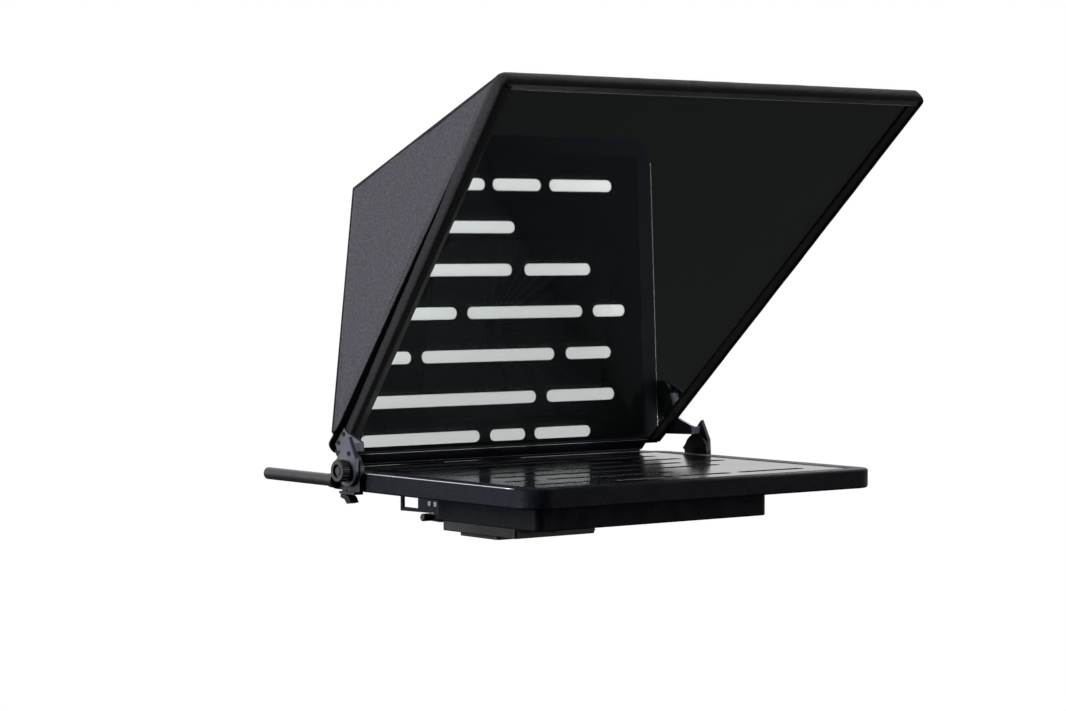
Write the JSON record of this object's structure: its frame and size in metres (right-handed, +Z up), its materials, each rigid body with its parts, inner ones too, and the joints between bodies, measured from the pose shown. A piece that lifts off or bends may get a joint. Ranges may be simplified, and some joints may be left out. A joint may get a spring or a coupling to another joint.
{
  "type": "teleprompter",
  "caption": "Studio teleprompter with a face-up monitor, a tilting half-mirror frame with a cloth hood, and a sled and riser that carry a camera behind the glass.",
  "frame": {"origin": "centre of the tripod socket's mouth in the underside of the tripod plate", "axes": "+X to the right seen from the talent, +Y away from the talent towards the camera, +Z up out of the tripod"},
  "size_m": [0.5044, 0.5345, 0.4332],
  "materials": {
    "black_powder": "fine powder coat, satin",
    "black_anodised": "black anodised, satin",
    "grey_arm": "dark anodised, bead blasted",
    "steel": "bright zinc",
    "black_steel": "black oxide",
    "knob_plastic": "moulded, satin",
    "screen": "glossy dark screen",
    "backlight": "white moulded",
    "circuit_board": "solder mask",
    "beam_glass": "clear with a half-mirror coating",
    "gasket": "matt rubber",
    "hood_cloth": "matt woven, light absorbing",
    "sleeve_cloth": "stretch knit"
  },
  "bodies": {
    "base": {"tripod_plate": "black_anodised", "base_carriage": "black_anodised", "carriage_screws": "steel"},
    "rail_lock": {"rail_lock_knob": "knob_plastic"},
    "sled": {"base_rail": "black_anodised", "monitor_support_plate": "black_anodised", "monitor_bracket": "black_powder", "riser_cheek_left": "black_powder", "riser_cheek_right": "black_powder", "riser_base_block": "black_anodised", "rim_front": "black_powder", "rim_rear": "black_powder", "rim_side_left": "black_powder", "rim_side_right": "black_powder", "rim_corners": "black_powder", "lcd_panel": "screen", "backlight_unit": "backlight", "monitor_back_cover": "black_powder", "chassis_screws": "steel", "electronics_housing": "black_powder", "driver_board": "circuit_board", "power_board": "circuit_board", "video_sockets": "steel", "power_socket": "knob_plastic", "side_bracket_left": "black_anodised", "side_bracket_right": "black_anodised", "rod_left": "black_anodised", "rod_right": "black_anodised", "rod_socket_left": "black_anodised", "rod_socket_right": "black_anodised", "tilt_pivot_pin": "black_steel"},
    "riser_clamp": {"riser_clamp_knob": "knob_plastic", "riser_clamp_collar": "steel"},
    "rod_clamp_left": {"rod_clamp_lever_left": "black_steel"},
    "rod_clamp_right": {"rod_clamp_lever_right": "black_steel"},
    "menu_key": {"menu_key": "knob_plastic"},
    "select_key": {"select_key": "knob_plastic"},
    "power_rocker": {"power_rocker": "knob_plastic"},
    "mirror_frame": {"frame_top_bar": "black_anodised", "frame_bottom_bar": "black_anodised", "frame_side_bar_left": "black_anodised", "frame_side_bar_right": "black_anodised", "corner_keys": "black_steel", "beam_splitter_glass": "beam_glass", "glass_gasket": "gasket", "tilt_arm_left": "grey_arm", "tilt_arm_right": "grey_arm", "tilt_arm_screws": "black_steel", "hood_side_left": "hood_cloth", "hood_side_right": "hood_cloth", "hood_top": "hood_cloth", "hood_back": "hood_cloth", "lens_sleeve": "sleeve_cloth"},
    "tilt_knob": {"tilt_knob": "knob_plastic"},
    "riser": {"riser_platform": "black_anodised"},
    "riser_knob": {"riser_knob": "knob_plastic"},
    "camera_plate": {"camera_plate": "black_anodised"},
    "camera_screw": {"camera_screw": "steel"},
    "camera_plate_lock": {"camera_plate_lock": "knob_plastic"}
  },
  "joints": [
    {"name": "rail_lock_turn", "type": "hinge", "parent": "base", "child": "rail_lock", "pos_m": [0.06, -0.024, 0.017], "axis": [1, 0, 0], "range_deg": [-180, 180]},
    {"name": "balance_slide", "type": "slide", "parent": "base", "child": "sled", "axis": [0, 1, 0], "range_m": [0, 0.03]},
    {"name": "riser_clamp_turn", "type": "hinge", "parent": "sled", "child": "riser_clamp", "pos_m": [-0.06, 0.043, 0.019], "axis": [1, 0, 0], "range_deg": [-180, 180]},
    {"name": "rod_clamp_left_turn", "type": "hinge", "parent": "sled", "child": "rod_clamp_left", "pos_m": [-0.217, -0.042, 0.055], "axis": [0, 0, -1], "range_deg": [0, 90]},
    {"name": "rod_clamp_right_turn", "type": "hinge", "parent": "sled", "child": "rod_clamp_right", "pos_m": [0.217, -0.042, 0.055], "axis": [0, 0, 1], "range_deg": [0, 90]},
    {"name": "menu_key_press", "type": "slide", "parent": "sled", "child": "menu_key", "axis": [0, -1, 0], "range_m": [0, 0.0008], "stiffness_N_per_m": 600},
    {"name": "select_key_press", "type": "slide", "parent": "sled", "child": "select_key", "axis": [0, -1, 0], "range_m": [0, 0.0008], "stiffness_N_per_m": 600},
    {"name": "power_rocker_tip", "type": "hinge", "parent": "sled", "child": "power_rocker", "pos_m": [-0.092, -0.076, 0.044], "axis": [0, 0, 1], "range_deg": [0, 14]},
    {"name": "mirror_tilt", "type": "hinge", "parent": "sled", "child": "mirror_frame", "pos_m": [0, -0.046, 0.078], "axis": [1, 0, 0], "range_deg": [0, 45]},
    {"name": "tilt_knob_turn", "type": "hinge", "parent": "sled", "child": "tilt_knob", "pos_m": [-0.227, -0.046, 0.078], "axis": [1, 0, 0], "range_deg": [-180, 180]},
    {"name": "riser_height", "type": "slide", "parent": "sled", "child": "riser", "axis": [0, 0, 1], "range_m": [-0.02, 0.02]},
    {"name": "riser_knob_turn", "type": "hinge", "parent": "riser", "child": "riser_knob", "pos_m": [0.06, 0.071, 0.12], "axis": [1, 0, 0], "range_deg": [-180, 180]},
    {"name": "camera_plate_slide", "type": "slide", "parent": "riser", "child": "camera_plate", "axis": [0, 1, 0], "range_m": [-0.03, 0.04]},
    {"name": "camera_plate_lock_turn", "type": "hinge", "parent": "riser", "child": "camera_plate_lock", "pos_m": [0.055, 0.112, 0.164], "axis": [1, 0, 0], "range_deg": [-180, 180]},
    {"name": "camera_screw_turn", "type": "hinge", "parent": "camera_plate", "child": "camera_screw", "pos_m": [0, 0.14, 0.165], "axis": [0, 0, 1], "continuous": true}
  ]
}
